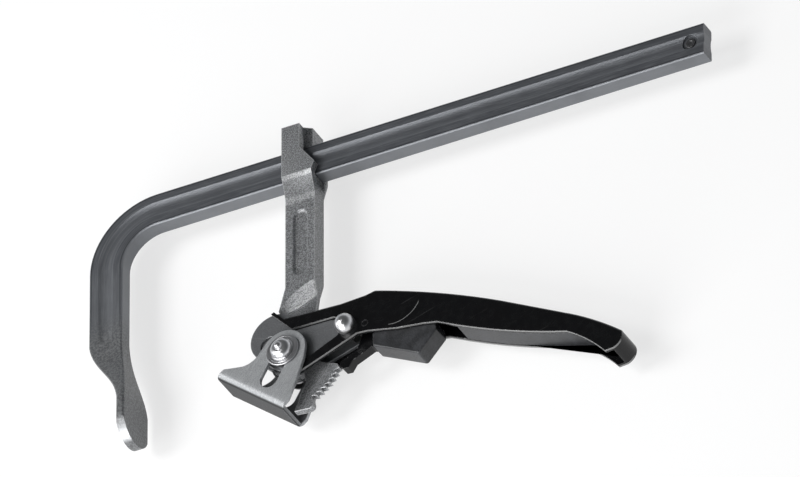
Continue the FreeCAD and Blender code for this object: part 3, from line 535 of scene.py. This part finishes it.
@dataclass(frozen=True)
class PlateSteel:
    """Galvanised plate: fine streaks down to the bend, a bright bend, and painted shade on the pressing face,
    inside the channel and in a line where the bend meets the web.
    """

    name: str
    tone: Colour = (0.35, 0.36, 0.37)
    bright: Colour = (0.64, 0.65, 0.66)
    # painted shade colour of the web and of the inside of the channel
    dark: Colour = (0.024, 0.025, 0.027)
    # colour of the painted shade line where the bend meets the web
    joint: Colour = (0.02, 0.021, 0.022)
    outward: Span = (-0.6427876, -0.7660444)
    pivot: Span = (0.1038, 0.0)
    face: float = 0.0314
    bend_from_face: Span = (-0.0062, -0.0036)
    web_from_face: Span = (-0.0012, -0.0002)
    # where the painted shade line runs
    shade_line_from_face: Span = (-0.0013, -0.0004)
    shade_line_height: Span = (0.0084, 0.0092)
    half_gap: float = 0.0101
    gap_fade: Span = (0.0004, 0.0)
    stretch: float = 0.12
    worn_edge: float = 0.0009
    relief: Triple = (0.00012, 0.6, 0.0005)

    def make(self) -> bpy.types.Material:
        """Lay out the material.

        Returns:
            The material.
        """
        paint = Paint(self.name)
        x = paint.axis(0) - self.pivot[0]
        y = paint.axis(1) - self.pivot[1]
        out = x * self.outward[0] + y * self.outward[1]
        along = y * self.outward[0] - x * self.outward[1]
        height = paint.axis(2)
        drawn = {0: along, 1: out * self.stretch, 2: height * self.stretch}
        streaks = paint.noise(1600.0, 3.0, paint.node("ShaderNodeCombineXYZ", None, drawn), 0.6)
        skin = paint.noise(1500.0, 3.0, rough=0.7)
        clouds = paint.noise(60.0, 3.0)
        from_face = out - self.face
        bend = from_face.step(*self.bend_from_face)
        web = from_face.step(*self.web_from_face)
        inside = (abs(height) - self.half_gap).step(*self.gap_fade)
        base = paint.tint(streaks.step(0.35, 0.72) * 0.35, self.tone, self.bright)
        base = paint.tint(skin.step(0.4, 0.65) * 0.55, base, shade(self.tone, 0.5))
        base = paint.tint(clouds.step(0.4, 0.75) * 0.2, base, shade(self.tone, 0.6))
        # painted shade on the pressing face of the web and inside the channel
        base = paint.tint((web * 0.9 + inside * 0.6).held(), base, self.dark)
        base = paint.tint(paint.edge_wear(self.worn_edge) * 0.5, base, self.bright)
        # painted shade line where the bend meets the web
        shade_line = from_face.step(*self.shade_line_from_face) * abs(height).step(*self.shade_line_height)
        base = paint.tint(shade_line * 0.75, base, self.joint)
        rough = 0.4 + (streaks - 0.5) * 0.1 + bend * 0.14
        normal = paint.bumped(streaks * 0.3 + skin * 0.7, *self.relief)
        return paint.finish({"Base Color": base, "Metallic": 0.5, "Roughness": rough, "Normal": normal})


@dataclass(frozen=True)
class PolishedSteel:
    """Mirror-bright steel of the domed heads, with hairline scuffs."""

    name: str
    tone: Colour = (0.6, 0.6, 0.61)
    roughness: float = 0.26

    def make(self) -> bpy.types.Material:
        """Lay out the material.

        Returns:
            The material.
        """
        paint = Paint(self.name)
        scuffs = paint.noise(1800.0, 3.0, paint.stretched((1.0, 0.12, 1.0), 30.0))
        smear = paint.noise(300.0, 2.0)
        base = paint.tint(scuffs.step(0.6, 0.75) * 0.25, self.tone, shade(self.tone, 0.7))
        rough = self.roughness + scuffs.step(0.55, 0.8) * 0.08 + smear * 0.05
        return paint.finish({"Base Color": base, "Metallic": 1.0, "Roughness": rough})


@dataclass(frozen=True)
class BlackEnamel:
    """Gloss black paint of the lever, with wear along its edges, one curved scratch, a few chips and painted
    highlights on its down-facing cut edges.
    """

    name: str
    tone: Colour = (0.0018, 0.0018, 0.0022)
    dusty: Colour = (0.03, 0.03, 0.032)
    # colour of the wear and of the painted highlights on the cut edges
    wear_and_highlight: Colour = (0.3, 0.3, 0.3)
    scratch: tuple[Span, ...] = ((0.1716, -0.0018), (0.1836, 0.00015), (0.1912, 0.0083))
    scratch_line: Span = (0.0004, 0.0001)
    scratch_end: float = 0.0005
    scratch_side: Span = (0.0, -0.001)
    wobble: float = 0.0006
    face: float = 0.0092
    face_fade: Span = (0.0, 0.0002)
    # depth of the strip beside each outer face whose down-facing cut edges get a painted highlight
    highlit: float = 0.0009
    highlit_fade: Span = (-0.0003, 0.0002)
    worn_edge: float = 0.0008
    relief: Triple = (0.00003, 0.3, 0.0005)

    def scratched(self, paint: Paint) -> Flow:
        """Mask of the curved scratch on the front cheek.

        Args:
            paint: The material.

        Returns:
            The mask.
        """
        first, middle, last = (Vector(point) for point in self.scratch)
        centre = circle_centre(first, middle, last)
        radius = (first - centre).length
        x, y, z = (paint.axis(index) for index in range(3))
        far = ((x - centre.x) * (x - centre.x) + (y - centre.y) * (y - centre.y)).sum("SQRT")
        wobble = (paint.noise(700.0, 2.0) - 0.5) * self.wobble
        line = abs(far - radius + wobble).step(*self.scratch_line)
        end = self.scratch_end
        span = (x - first.x).step(-end, end) * (x - last.x).step(end, -end)
        below = (y - centre.y).step(*self.scratch_side)
        return line * span * (z - self.face).step(*self.face_fade) * below

    def make(self) -> bpy.types.Material:
        """Lay out the material.

        Returns:
            The material.
        """
        paint = Paint(self.name)
        peel = paint.noise(260.0, 2.0)
        dust = paint.noise(1900.0, 3.0, rough=0.75)
        edge = paint.edge_wear(self.worn_edge)
        chips = paint.noise(420.0, 3.0).step(0.6, 0.66) * edge
        # painted highlight on the down-facing cut edges beside the outer faces of the cheeks
        outer = (abs(paint.axis(2)) - (self.face - self.highlit)).step(*self.highlit_fade)
        cut = paint.facing(1).step(-0.35, -0.6) * outer * (0.75 + paint.noise(300.0, 2.0) * 0.25)
        hair = paint.noise(500.0, 3.0, paint.stretched((0.06, 1.0, 1.0), -18.0)).step(0.68, 0.76)
        # wear and painted highlight together: scratch, chips, edge wear, hairlines and the lit cut edges
        wear_and_highlight = self.scratched(paint) * 0.55 + chips * 0.7 + edge * 0.06 + hair * 0.05 + cut * 0.75
        wear_and_highlight = wear_and_highlight.held()
        base = paint.tint(dust.step(0.66, 0.8) * 0.3, self.tone, self.dusty)
        base = paint.tint(wear_and_highlight, base, self.wear_and_highlight)
        rough = 0.22 + peel.step(0.3, 0.8) * 0.08 + wear_and_highlight * 0.25
        normal = paint.bumped(peel * 0.6 + dust * 0.4, *self.relief)
        values = {"Base Color": base, "Metallic": wear_and_highlight * 0.5, "Roughness": rough, "Normal": normal}
        return paint.finish({**values, "Specular IOR Level": 0.32})


@dataclass(frozen=True)
class BlackPlastic:
    """Moulded black plastic with a fine leathery texture and rubbed edges."""

    name: str
    tone: Colour = (0.012, 0.0125, 0.014)
    faded: Colour = (0.0312, 0.0325, 0.0364)
    rubbed: Colour = (0.12, 0.125, 0.13)
    texture: float = 1500.0
    worn_edge: float = 0.0012
    relief: Triple = (0.00016, 0.55, 0.0006)

    def make(self) -> bpy.types.Material:
        """Lay out the material.

        Returns:
            The material.
        """
        paint = Paint(self.name)
        cells = paint.node("ShaderNodeTexVoronoi", None, {"Vector": paint.place(), "Scale": self.texture})
        clouds = paint.noise(120.0, 4.0, rough=0.65)
        base = paint.tint(clouds.step(0.4, 0.66) * 0.7, self.tone, self.faded)
        rubbed = cells.step(0.5, 0.1) * 0.15 + paint.edge_wear(self.worn_edge) * 0.35
        base = paint.tint(rubbed, base, self.rubbed)
        rough = 0.4 + (clouds - 0.5) * 0.25
        normal = paint.bumped(cells, *self.relief)
        return paint.finish({"Base Color": base, "Roughness": rough, "Normal": normal})


class Finish(Enum):
    """The finishes of the clamp's pieces."""

    BAR = BarSteel("drawn_bar")
    FORGED = ForgedSteel("forged_arm")
    PLATE = PlateSteel("galvanised_plate")
    CAM = SheetSteel("cam_sheet", (0.125, 0.129, 0.135), (0.4, 0.405, 0.415), marks=0.2)
    WASHER = PolishedSteel("bright_washer", (0.4, 0.4, 0.41), 0.32)
    POLISHED = PolishedSteel("polished_head")
    PIN = SheetSteel("dark_pin", (0.045, 0.045, 0.048), (0.14, 0.14, 0.145), 0.4)
    ENAMEL = BlackEnamel("black_enamel")
    PLASTIC = BlackPlastic("black_plastic")


class Workshop:
    """Finishes that are made once, and the steps that turn a shape into a fitted piece."""

    merge: float = 0.000002
    merge_turned: float = 0.000001
    flat: float = 0.5

    def __init__(self) -> None:
        """Read which body and slot each node of the record belongs to."""
        record = frame["record"]
        self.made: dict[Finish, bpy.types.Material] = {}
        self.slots = {row["node"]: row["material_slot"] for row in record["subparts"]}
        self.bodies = {node: body for body, nodes in record["behaviour"]["bodies"].items() for node in nodes}

    def material(self, finish: Finish) -> bpy.types.Material:
        """Material of a finish, made on first use.

        Args:
            finish: The finish.

        Returns:
            Its material.
        """
        if finish not in self.made:
            self.made[finish] = finish.value.make()
        return self.made[finish]

    def dress(self, finish: Finish, *nodes: str) -> None:
        """Give nodes of the frame that keep their own shape a finish.

        Args:
            finish: The finish.
            nodes: The nodes' names.
        """
        for node in nodes:
            thing = frame["nodes"][node]
            thing.data.materials.clear()
            thing.data.materials.append(self.material(finish))
            LOG.info("dressed %s", node)

    def blank(self, node: str, crisp: float = CRISP) -> bmesh.types.BMesh:
        """Copy of a node's shape with its doubles merged and its flats whole.

        Args:
            node: The node's name.
            crisp: Angle from which an edge stays crisp.

        Returns:
            The copy.
        """
        mesh = bmesh.new()
        mesh.from_mesh(frame["nodes"][node].data)
        bmesh.ops.remove_doubles(mesh, verts=mesh.verts, dist=self.merge)
        flat = math.radians(self.flat)
        bmesh.ops.dissolve_limit(mesh, angle_limit=flat, verts=mesh.verts, edges=mesh.edges)
        for edge in mesh.edges:
            edge.smooth = edge.is_manifold and edge.calc_face_angle() < math.radians(crisp)
        return mesh

    def ease(self, mesh: bmesh.types.BMesh, width: float, least: float, near: "Near | None" = None) -> None:
        """Round the sharp edges of a shape.

        Args:
            mesh: The shape.
            width: Width of the rounding in metres.
            least: Angle from which an edge counts as sharp.
            near: The edges that are meant; all if left out.
        """
        whole = [edge for edge in mesh.edges if edge.is_manifold]
        sharp = [edge for edge in whole if edge.calc_face_angle() > math.radians(least)]
        chosen = [edge for edge in sharp if near is None or near.holds(edge)]
        for edge in chosen:
            edge.smooth = True
        bmesh.ops.bevel(
            mesh, geom=chosen, offset=width, offset_type="OFFSET", segments=3, profile=0.5, affect="EDGES",
            clamp_overlap=True, loop_slide=True, material=-1,
        )

    def turned(self, profile: list[Vector], centre: Vector, steps: int = 96) -> bmesh.types.BMesh:
        """Turn a profile round an axis that runs along Z.

        Args:
            profile: Radius and height of each point, from the axis back to the axis.
            centre: Where the axis crosses the base.
            steps: How many steps the turn has.

        Returns:
            The turned shape.
        """
        mesh = bmesh.new()
        verts = [mesh.verts.new((centre.x + point.x, centre.y, centre.z + point.y)) for point in profile]
        edges = [mesh.edges.new(pair) for pair in zip(verts, verts[1:])]
        bmesh.ops.spin(
            mesh, geom=verts + edges, cent=centre, axis=(0.0, 0.0, 1.0), angle=math.tau, steps=steps,
            use_merge=True,
        )
        bmesh.ops.remove_doubles(mesh, verts=mesh.verts, dist=self.merge_turned)
        bmesh.ops.recalc_face_normals(mesh, faces=mesh.faces)
        for edge in mesh.edges:
            edge.smooth = edge.calc_face_angle(0.0) < math.radians(CRISP)
        return mesh

    def fit(self, name: str, mesh: bmesh.types.BMesh, finish: Finish, node: str) -> bpy.types.Object:
        """Put a shape on the clamp in place of a node.

        Args:
            name: The piece's name.
            mesh: Its shape, which is freed.
            finish: Its finish.
            node: The node that it stands for.

        Returns:
            The piece.
        """
        for face in mesh.faces:
            face.smooth = True
        piece = new_object(name, mesh)
        piece.data.materials.append(self.material(finish))
        weighted = piece.modifiers.new("even_shading", "WEIGHTED_NORMAL")
        weighted.keep_sharp = True
        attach(piece, self.bodies[node])
        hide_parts(node)
        LOG.info("fitted %s", name)
        return piece


@dataclass(frozen=True)
class Near:
    """Edges inside or outside a circle seen along Z, or a long oval where shrink is under 1."""

    x: float
    y: float
    radius: float
    inside: bool = True
    shrink: float = 1.0

    def holds(self, edge: bmesh.types.BMEdge) -> bool:
        """Whether an edge is one of them.

        Args:
            edge: The edge.

        Returns:
            True if it is.
        """
        middle = (edge.verts[0].co + edge.verts[1].co) / 2
        away = math.hypot(middle.x - self.x, (middle.y - self.y) * self.shrink)
        return (away < self.radius) == self.inside


def arc(first: Vector, middle: Vector, last: Vector, steps: int) -> list[Vector]:
    """Points on the circle through three points.

    Args:
        first: Where the arc starts.
        middle: A point on it.
        last: Where it ends.
        steps: How many pieces it is divided into.

    Returns:
        The points, both ends included.
    """
    centre = circle_centre(first, middle, last)
    start, end = first - centre, last - centre
    turn = start.angle_signed(end)
    points = []
    for step in range(steps + 1):
        points.append(centre + Matrix.Rotation(-turn * step / steps, 2) @ start)
    return points


@dataclass
class RailAndJaw:
    """Grooved bar with its forged jaw, and the stud that stops the arm."""

    shop: Workshop
    end_ease: float = 0.0005
    end_turn: float = 50.0
    stud_chamfer: float = 0.0004
    dimple: Span = (0.5, 0.42)
    half_thickness: float = 0.00525
    tolerance: float = 0.00005
    groove_turn: float = 15.0

    def bar(self) -> None:
        """Bar whose ends and recess have broken edges."""
        mesh = self.shop.blank("rail_with_fixed_jaw")
        for edge in mesh.edges:
            off_flat = max(abs(abs(vert.co.z) - self.half_thickness) for vert in edge.verts)
            on_flat = off_flat < self.tolerance
            if on_flat and edge.calc_face_angle(0.0) > math.radians(self.groove_turn):
                edge.smooth = False
        self.shop.ease(mesh, self.end_ease, self.end_turn)
        self.shop.fit("grooved_bar", mesh, Finish.BAR, "rail_with_fixed_jaw")

    def stud(self) -> None:
        """Stop stud with chamfered ends and a shallow dimple in its head."""
        low, high = (Vector(corner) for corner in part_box("rail_stop_pin"))
        radius = (high.x - low.x) / 2
        height = high.z - low.z
        chamfer = self.stud_chamfer
        rim, foot = (radius * share for share in self.dimple)
        outline = [(0.0, 0.0), (radius - chamfer, 0.0), (radius, chamfer), (radius, height - chamfer)]
        outline += [(radius - chamfer, height), (rim, height)]
        outline += [(foot, height - chamfer * 0.7), (0.0, height - chamfer)]
        centre = Vector(((low.x + high.x) / 2, (low.y + high.y) / 2, low.z))
        mesh = self.shop.turned([Vector(point) for point in outline], centre, 64)
        self.shop.fit("stop_stud", mesh, Finish.PIN, "rail_stop_pin")

    def build(self) -> None:
        """Make the bar and its stud."""
        self.bar()
        self.stud()


@dataclass
class SlidingArm:
    """Forged arm with soft forged edges and crisper teeth."""

    shop: Workshop
    pivot: Span = (0.1038, 0.0)
    tooth_zone: float = 0.037
    tooth_ease: float = 0.00018
    dimple: Near = Near(0.11125, 0.0805, 0.0065, shrink=0.25)
    dimple_ease: float = 0.0011
    forged_ease: float = 0.0007
    forged_turn: float = 42.0
    crisp: float = 13.0

    def build(self) -> None:
        """Make the arm and dress its bush."""
        mesh = self.shop.blank("sliding_arm", self.crisp)
        toothed = Near(*self.pivot, self.tooth_zone)
        rest = Near(*self.pivot, self.tooth_zone, inside=False)
        self.shop.ease(mesh, self.dimple_ease, CUT, self.dimple)
        self.shop.ease(mesh, self.tooth_ease, CUT, toothed)
        self.shop.ease(mesh, self.forged_ease, self.forged_turn, rest)
        self.shop.fit("forged_arm", mesh, Finish.FORGED, "sliding_arm")
        self.shop.dress(Finish.PIN, "pivot_bush")


@dataclass
class MainPivot:
    """Pin, rings, washers and domed caps of the main pivot."""

    shop: Workshop
    rim: float = 0.0008
    dome: float = 0.0044
    nipple_radius: float = 0.0025
    foot: float = 0.0004
    shoulder: float = 0.0004
    edge: float = 0.0002
    washer_bore: float = 0.00575
    washer_round: float = 0.0006
    washer_seat: float = 0.0091
    seat_width: float = 0.0003

    def cap_outline(self, radius: float, height: float) -> list[Vector]:
        """Half section of a cap: rim, dome and nipple.

        Args:
            radius: Radius of the cap.
            height: Its height.

        Returns:
            Radius and height of each point.
        """
        rim, dome, edge, foot, tip = self.rim, self.dome, self.edge, self.foot, self.nipple_radius
        bend = Vector((radius - (radius - tip) * 0.3, rim + (dome - rim) * 0.68))
        outline = [Vector((0.0, 0.0)), Vector((radius - edge, 0.0)), Vector((radius, edge))]
        outline += [Vector((radius, rim - edge)), Vector((radius - edge, rim))]
        outline += arc(Vector((radius - self.shoulder, rim)), bend, Vector((tip + foot, dome)), 24)
        outline += [Vector((tip + foot * 0.3, dome + foot * 0.15))]
        bulge = Vector((tip * 0.8, dome + (height - dome) * 0.72))
        outline += arc(Vector((tip, dome + foot * 0.6)), bulge, Vector((tip * 0.2, height)), 16)
        return outline + [Vector((0.0, height))]

    def washer_outline(self, radius: float, height: float) -> list[Vector]:
        """Section of a washer with a rounded rim and a turned seat for the cap.

        Args:
            radius: Its radius.
            height: Its thickness.

        Returns:
            Radius and height of each point, the first one again at the end.
        """
        bore, turn, edge, outer = self.washer_bore, self.washer_round, self.edge, self.washer_seat
        inner = outer - self.seat_width
        corner = turn * (1.0 - math.sqrt(0.5))
        base = [Vector((bore, 0.0)), Vector((radius - edge, 0.0)), Vector((radius, edge))]
        bend = Vector((radius - corner, height - corner))
        rim = arc(Vector((radius, height - turn)), bend, Vector((radius - turn, height)), 8)
        seat = [(outer + edge, height), (outer, height - edge), (inner, height - edge)]
        seat += [(inner - edge, height), (bore, height)]
        return base + rim + [Vector(point) for point in seat] + base[:1]

    def pair(self, kind: str, outline: list[Vector], finish: Finish) -> None:
        """Turn a piece and its mirror image.

        Args:
            kind: What follows front or rear in the node's name.
            outline: The half section, upwards from the base.
            finish: Its finish.
        """
        for side in ("front", "rear"):
            node = f"{side}_{kind}"
            low, high = (Vector(corner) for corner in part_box(node))
            base = low.z if side == "front" else high.z
            centre = Vector(((low.x + high.x) / 2, (low.y + high.y) / 2, base))
            points = outline if side == "front" else [Vector((point.x, -point.y)) for point in outline]
            mesh = self.shop.turned(points, centre)
            self.shop.fit(f"{side}_turned_{kind.split('_')[-1]}", mesh, finish, node)

    def build(self) -> None:
        """Make the caps and washers and dress the pin and its rings."""
        low, high = (Vector(corner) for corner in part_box("front_pivot_cap"))
        self.pair("pivot_cap", self.cap_outline((high.x - low.x) / 2, high.z - low.z), Finish.POLISHED)
        low, high = (Vector(corner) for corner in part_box("front_pivot_washer"))
        self.pair("pivot_washer", self.washer_outline((high.x - low.x) / 2, high.z - low.z), Finish.WASHER)
        self.shop.dress(Finish.WASHER, "front_spacer_ring", "rear_spacer_ring")
        self.shop.dress(Finish.PIN, "pivot_pin")


@dataclass
class PressurePlate:
    """Bent plate that presses on the work."""

    shop: Workshop
    edge: float = 0.00045

    def build(self) -> None:
        """Make the plate."""
        mesh = self.shop.blank("pressure_plate")
        self.shop.ease(mesh, self.edge, BENT)
        self.shop.fit("bent_plate", mesh, Finish.PLATE, "pressure_plate")


@dataclass
class CamLever:
    """Folded lever with its cam cheeks, ball rivets and filler."""

    shop: Workshop
    fold_ease: float = 0.0006
    cam_ease: float = 0.0004
    filler_ease: float = 0.0008
    rivet_shank: float = 0.0025
    rivet_low: float = 23.0
    rivet_middle: float = 28.0
    rivet_flat: float = 79.0

    def rivet_outline(self, radius: float, below: float) -> list[Vector]:
        """Half section of a rivet with a ball head.

        Args:
            radius: Radius of the ball.
            below: Length of the shank under the head.

        Returns:
            Radius and height of each point.
        """
        middle = Vector((0.0, below + radius * math.sin(math.radians(self.rivet_low))))
        angles = [math.radians(angle) for angle in (-self.rivet_low, self.rivet_middle, self.rivet_flat)]
        ball = [middle + Vector((math.cos(angle), math.sin(angle))) * radius for angle in angles]
        outline = [Vector((0.0, 0.0)), Vector((self.rivet_shank, 0.0)), Vector((self.rivet_shank, below))]
        return outline + arc(*ball, 30) + [Vector((0.0, ball[2].y))]

    def rivets(self) -> None:
        """Turn the two rivets."""
        rise = sum(math.sin(math.radians(angle)) for angle in (self.rivet_low, self.rivet_flat))
        for side, sign in (("front", 1), ("rear", -1)):
            node = f"{side}_lever_rivet"
            low, high = (Vector(corner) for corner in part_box(node))
            radius = (high.x - low.x) / 2
            outline = self.rivet_outline(radius, high.z - low.z - radius * rise)
            base = low.z if sign > 0 else high.z
            centre = Vector(((low.x + high.x) / 2, (low.y + high.y) / 2, base))
            mesh = self.shop.turned([Vector((point.x, point.y * sign)) for point in outline], centre)
            self.shop.fit(f"{side}_ball_rivet", mesh, Finish.POLISHED, node)

    def build(self) -> None:
        """Make the lever's sheet, cheeks, rivets and filler and dress the pin."""
        mesh = self.shop.blank("lever_channel")
        self.shop.ease(mesh, self.fold_ease, BENT)
        self.shop.fit("folded_lever", mesh, Finish.ENAMEL, "lever_channel")
        for side in ("front", "rear"):
            mesh = self.shop.blank(f"{side}_cam_plate")
            self.shop.ease(mesh, self.cam_ease, CUT)
            self.shop.fit(f"{side}_cam_cheek", mesh, Finish.CAM, f"{side}_cam_plate")
        self.rivets()
        mesh = self.shop.blank("handle_filler")
        self.shop.ease(mesh, self.filler_ease, BENT)
        self.shop.fit("filler_strip", mesh, Finish.PLASTIC, "handle_filler")
        self.shop.dress(Finish.ENAMEL, "pawl_pin")


@dataclass
class RatchetTrigger:
    """Pawl and the trigger moulded on its tail."""

    shop: Workshop
    pawl_ease: float = 0.0003
    trigger_ease: float = 0.0009

    def build(self) -> None:
        """Make the pawl and the trigger."""
        mesh = self.shop.blank("pawl")
        self.shop.ease(mesh, self.pawl_ease, CUT)
        self.shop.fit("ratchet_pawl", mesh, Finish.ENAMEL, "pawl")
        mesh = self.shop.blank("release_trigger")
        self.shop.ease(mesh, self.trigger_ease, BENT)
        self.shop.fit("moulded_trigger", mesh, Finish.PLASTIC, "release_trigger")


@dataclass
class Studio:
    """Pale floor, soft lights and the camera."""

    target: Triple = (0.1742, 0.0652, 0.0)
    back: Triple = (0.37399, -0.5896, 0.71589)
    right: Triple = (0.88563, -0.00209, -0.46439)
    distance: float = 11.6586
    reach: float = 50.0
    lens: float = 900.0
    sensor: float = 36.0
    white: Colour = (1.0, 1.0, 1.0)
    floor_tone: Colour = (0.9, 0.9, 0.9)
    floor_half: float = 8.0
    floor_drop: float = 0.0002
    floor_white: float = 0.66
    sky: Colour = (0.94, 0.97, 1.0)
    sky_fade: Span = (0.05, 0.6)
    horizon: float = 0.85
    ceiling: float = 0.1

    def camera(self) -> None:
        """Set the camera at the photographed angle."""
        data = bpy.data.cameras.new("camera")
        data.lens = self.lens
        data.sensor_width = self.sensor
        data.clip_end = self.reach
        camera = bpy.data.objects.new("camera", data)
        bpy.context.scene.collection.objects.link(camera)
        back = Vector(self.back).normalized()
        right = Vector(self.right)
        right = (right - back * right.dot(back)).normalized()
        up = back.cross(right)
        turn = Matrix((right, up, back)).transposed().to_4x4()
        camera.matrix_world = Matrix.Translation(Vector(self.target) + back * self.distance) @ turn
        bpy.context.scene.camera = camera

    def lamp(self, name: str, place: Triple, size: float, power: float) -> None:
        """Hang a square soft light that faces the clamp.

        Args:
            name: Its name.
            place: Where it hangs, in metres.
            size: Its side in metres.
            power: Its power in watts.
        """
        data = bpy.data.lights.new(name, "AREA")
        data.shape = "SQUARE"
        data.size = size
        data.energy = power
        lamp = bpy.data.objects.new(name, data)
        bpy.context.scene.collection.objects.link(lamp)
        away = (Vector(place) - Vector(self.target)).normalized()
        lamp.rotation_mode = "QUATERNION"
        lamp.rotation_quaternion = away.to_track_quat("Z", "Y")
        lamp.location = place

    def world(self) -> None:
        """Surroundings that are bright at the horizon and dim overhead, and white to the camera."""
        world = bpy.data.worlds.new("surroundings")
        bpy.context.scene.world = world
        world.use_nodes = True
        tree = world.node_tree
        tree.nodes.clear()
        path = tree.nodes.new("ShaderNodeLightPath")
        place = tree.nodes.new("ShaderNodeTexCoord")
        split = tree.nodes.new("ShaderNodeSeparateXYZ")
        fade = tree.nodes.new("ShaderNodeMapRange")
        fade.interpolation_type = "SMOOTHSTEP"
        for index, value in enumerate((*self.sky_fade, self.horizon, self.ceiling), 1):
            fade.inputs[index].default_value = value
        plain = tree.nodes.new("ShaderNodeBackground")
        plain.inputs["Color"].default_value = (*self.sky, 1.0)
        white = tree.nodes.new("ShaderNodeBackground")
        white.inputs["Color"].default_value = (*self.white, 1.0)
        blend = tree.nodes.new("ShaderNodeMixShader")
        output = tree.nodes.new("ShaderNodeOutputWorld")
        tree.links.new(place.outputs["Generated"], split.inputs[0])
        tree.links.new(split.outputs[2], fade.inputs[0])
        tree.links.new(fade.outputs[0], plain.inputs["Strength"])
        tree.links.new(path.outputs["Is Camera Ray"], blend.inputs["Fac"])
        tree.links.new(plain.outputs[0], blend.inputs[1])
        tree.links.new(white.outputs[0], blend.inputs[2])
        tree.links.new(blend.outputs[0], output.inputs["Surface"])

    def floor(self) -> None:
        """Lay the white floor just under the clamp."""
        mesh = bmesh.new()
        bmesh.ops.create_grid(mesh, x_segments=1, y_segments=1, size=self.floor_half)
        low = CAD_BOX[0][2]
        bmesh.ops.translate(mesh, verts=mesh.verts, vec=(0.0, 0.0, low - self.floor_drop))
        floor = new_object("floor", mesh)
        paint = Paint("white_floor")
        values = {"Base Color": self.floor_tone, "Roughness": 0.9}
        surface = paint.node("ShaderNodeBsdfPrincipled", None, values)
        glow = paint.node("ShaderNodeEmission", None, {"Color": self.white, "Strength": 1.0})
        seen = paint.node("ShaderNodeLightPath", output=0)
        mirrored = paint.node("ShaderNodeLightPath", output=3)
        white = seen.sum("MAXIMUM", mirrored) * self.floor_white
        both = paint.node("ShaderNodeMixShader", None, {0: white, 1: surface, 2: glow})
        paint.node_out(both)
        floor.data.materials.append(paint.material)

    def build(self) -> None:
        """Set up the whole studio."""
        self.camera()
        self.world()
        self.floor()
        self.lamp("low_light", (-0.6, -1.5, 0.8), 1.5, 42.0)
        self.lamp("left_light", (-1.6, 0.0, 0.75), 1.0, 5.0)
        self.lamp("high_light", (-1.05, -0.15, 1.75), 1.0, 30.0)
        bpy.context.scene.view_settings.view_transform = "Standard"


def new_object(name: str, mesh: bmesh.types.BMesh) -> bpy.types.Object:
    """Turn a finished bmesh into an object of the scene.

    Args:
        name: The object's name.
        mesh: The bmesh, which is freed.

    Returns:
        The object.
    """
    data = bpy.data.meshes.new(name)
    mesh.to_mesh(data)
    mesh.free()
    thing = bpy.data.objects.new(name, data)
    bpy.context.scene.collection.objects.link(thing)
    return thing


def main() -> None:
    """Build the studio and every piece."""
    logging.basicConfig(level=logging.INFO)
    Studio().build()
    shop = Workshop()
    for group in (RailAndJaw, SlidingArm, MainPivot, PressurePlate, CamLever, RatchetTrigger):
        group(shop).build()
        LOG.info("built %s", group.__name__)


if __name__ == "__main__":
    main()
